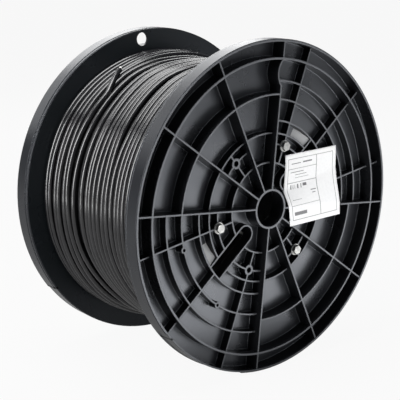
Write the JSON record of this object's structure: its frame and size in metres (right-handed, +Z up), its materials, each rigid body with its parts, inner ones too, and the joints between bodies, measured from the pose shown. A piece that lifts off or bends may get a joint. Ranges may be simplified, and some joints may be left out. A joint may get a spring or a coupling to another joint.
{
  "type": "cable reel",
  "caption": "Black moulded plastic cable reel lying on its rims, with ribbed flanges, a central spindle bore, a barrel tube held by tie bolts, and black cable wound on it.",
  "frame": {"origin": "on the floor under the middle of the reel, half way between its flanges", "axes": "+Y along the reel's axis, from the labelled flange to the other one; +Z up"},
  "size_m": [0.4, 0.242, 0.4],
  "materials": {
    "reel_plastic": "satin",
    "cable_jacket": "semi-gloss",
    "barrel_tube": "matte",
    "bolt_steel": "zinc plated",
    "label_paper": "matte"
  },
  "bodies": {
    "root": {"flange_front": "reel_plastic", "flange_back": "reel_plastic", "barrel_tube": "barrel_tube", "cable_winding": "cable_jacket", "tie_bolt_1": "bolt_steel", "tie_bolt_2": "bolt_steel", "tie_bolt_3": "bolt_steel", "tie_nut_1": "bolt_steel", "tie_nut_2": "bolt_steel", "tie_nut_3": "bolt_steel", "label": "label_paper"}
  },
  "joints": []
}
